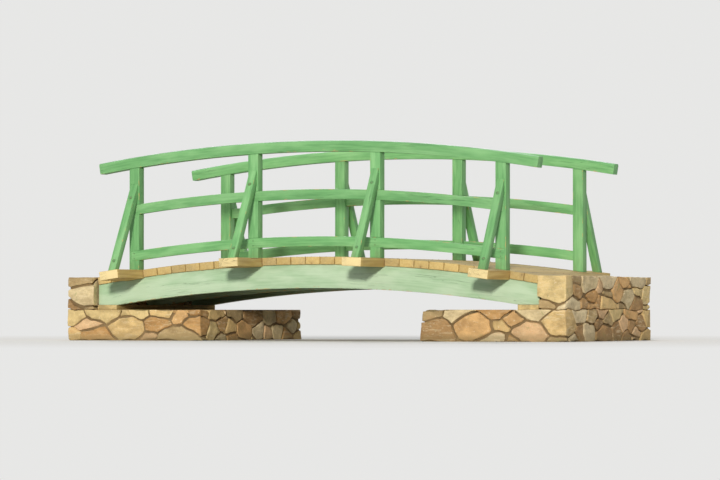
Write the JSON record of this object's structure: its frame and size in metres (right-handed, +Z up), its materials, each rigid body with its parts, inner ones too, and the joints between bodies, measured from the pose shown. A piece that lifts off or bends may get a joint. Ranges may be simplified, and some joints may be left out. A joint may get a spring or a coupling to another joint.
{
  "type": "arched timber garden footbridge",
  "caption": "Low arched timber garden footbridge with green post-and-rail sides, outward raking braces, a plank deck on curved beams and rubble stone abutments.",
  "frame": {"origin": "under the middle of the bridge, on the level where the abutments meet the ground or the water", "axes": "+X along the bridge, +Y across it from the front railing to the back one, +Z up"},
  "size_m": [4.984, 3.06, 1.8198],
  "materials": {
    "green_paint": "weathered green paint",
    "faded_paint": "pale faded green paint",
    "bare_timber": "unpainted weathered timber",
    "rubble_stone": "rough pinkish tan rubble"
  },
  "bodies": {
    "root": {"abutment_left": "rubble_stone", "abutment_right": "rubble_stone", "wall_plate_left": "bare_timber", "wall_plate_right": "bare_timber", "stringer_front": "faded_paint", "stringer_middle": "faded_paint", "stringer_back": "faded_paint", "transom_1": "bare_timber", "transom_2": "bare_timber", "transom_3": "bare_timber", "transom_4": "bare_timber", "deck_end_left": "bare_timber", "deck_bay_1": "bare_timber", "deck_bay_2": "bare_timber", "deck_bay_3": "bare_timber", "deck_end_right": "bare_timber", "post_front_1": "green_paint", "post_front_2": "green_paint", "post_front_3": "green_paint", "post_front_4": "green_paint", "post_back_1": "green_paint", "post_back_2": "green_paint", "post_back_3": "green_paint", "post_back_4": "green_paint", "brace_front_1": "green_paint", "brace_front_2": "green_paint", "brace_front_3": "green_paint", "brace_front_4": "green_paint", "brace_back_1": "green_paint", "brace_back_2": "green_paint", "brace_back_3": "green_paint", "brace_back_4": "green_paint", "handrail_front": "green_paint", "handrail_back": "green_paint", "mid_rail_front": "green_paint", "mid_rail_back": "green_paint", "low_rail_front": "green_paint", "low_rail_back": "green_paint"}
  },
  "joints": []
}
